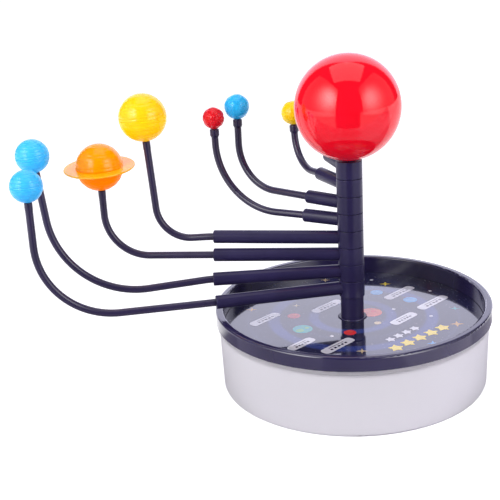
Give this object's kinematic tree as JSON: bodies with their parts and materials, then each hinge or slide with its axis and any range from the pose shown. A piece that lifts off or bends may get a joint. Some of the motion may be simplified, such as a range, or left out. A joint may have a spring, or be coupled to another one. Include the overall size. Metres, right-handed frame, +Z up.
{
  "type": "orrery",
  "caption": "Toy solar-system orrery: planet balls on bent rods, each on a collar that turns about a central post, over a star-chart tray on a round frosted tub.",
  "frame": {"origin": "centre of the tub's flat underside, on the column's axis", "axes": "+Z up along the column; +X to the right as the object is normally seen, so the parked planet arms point mostly towards -X; +Y away from the viewer"},
  "size_m": [0.3122, 0.19, 0.2262],
  "materials": {
    "tub_plastic": "frosted, translucent",
    "tray_plastic": "satin gloss",
    "post_plastic": "satin",
    "collar_plastic": "satin",
    "rod_plastic": "satin",
    "chart_print": "gloss laminated print",
    "sun_plastic": "high gloss",
    "neptune_plastic": "satin gloss",
    "uranus_plastic": "satin gloss",
    "saturn_plastic": "satin gloss",
    "ring_plastic": "satin gloss, slightly translucent",
    "jupiter_plastic": "satin gloss",
    "mars_plastic": "satin gloss",
    "earth_plastic": "satin gloss",
    "venus_plastic": "satin gloss",
    "mercury_plastic": "satin gloss"
  },
  "bodies": {
    "base": {"tub": "tub_plastic"},
    "stand": {"tray": "tray_plastic", "star_chart": "chart_print", "post": "post_plastic", "sun": "sun_plastic"},
    "neptune_arm": {"neptune_collar": "collar_plastic", "neptune_rod": "rod_plastic", "neptune_upper_half": "neptune_plastic", "neptune_lower_half": "neptune_plastic"},
    "uranus_arm": {"uranus_collar": "collar_plastic", "uranus_rod": "rod_plastic", "uranus_upper_half": "uranus_plastic", "uranus_lower_half": "uranus_plastic"},
    "saturn_arm": {"saturn_collar": "collar_plastic", "saturn_rod": "rod_plastic", "saturn_upper_half": "saturn_plastic", "saturn_lower_half": "saturn_plastic", "saturn_ring": "ring_plastic"},
    "jupiter_arm": {"jupiter_collar": "collar_plastic", "jupiter_rod": "rod_plastic", "jupiter_upper_half": "jupiter_plastic", "jupiter_lower_half": "jupiter_plastic"},
    "mars_arm": {"mars_collar": "collar_plastic", "mars_rod": "rod_plastic", "mars_ball": "mars_plastic"},
    "earth_arm": {"earth_collar": "collar_plastic", "earth_rod": "rod_plastic", "earth_ball": "earth_plastic"},
    "venus_arm": {"venus_collar": "collar_plastic", "venus_rod": "rod_plastic", "venus_ball": "venus_plastic"},
    "mercury_arm": {"mercury_collar": "collar_plastic", "mercury_rod": "rod_plastic", "mercury_ball": "mercury_plastic"}
  },
  "joints": [
    {"name": "tray_lift", "type": "slide", "parent": "base", "child": "stand", "axis": [0, 0, 1], "range_m": [0, 0.06]},
    {"name": "neptune_turn", "type": "hinge", "parent": "stand", "child": "neptune_arm", "pos_m": [0, 0, 0.066], "axis": [0, 0, 1], "range_deg": [-2, 345]},
    {"name": "uranus_turn", "type": "hinge", "parent": "stand", "child": "uranus_arm", "pos_m": [0, 0, 0.078], "axis": [0, 0, 1], "range_deg": [-345, 2]},
    {"name": "saturn_turn", "type": "hinge", "parent": "stand", "child": "saturn_arm", "pos_m": [0, 0, 0.09], "axis": [0, 0, 1], "continuous": true},
    {"name": "jupiter_turn", "type": "hinge", "parent": "stand", "child": "jupiter_arm", "pos_m": [0, 0, 0.102], "axis": [0, 0, 1], "continuous": true},
    {"name": "mars_turn", "type": "hinge", "parent": "stand", "child": "mars_arm", "pos_m": [0, 0, 0.114], "axis": [0, 0, 1], "range_deg": [-1, 343]},
    {"name": "earth_turn", "type": "hinge", "parent": "stand", "child": "earth_arm", "pos_m": [0, 0, 0.126], "axis": [0, 0, 1], "range_deg": [-343, 1]},
    {"name": "venus_turn", "type": "hinge", "parent": "stand", "child": "venus_arm", "pos_m": [0, 0, 0.138], "axis": [0, 0, 1], "continuous": true},
    {"name": "mercury_turn", "type": "hinge", "parent": "stand", "child": "mercury_arm", "pos_m": [0, 0, 0.15], "axis": [0, 0, 1], "continuous": true}
  ]
}
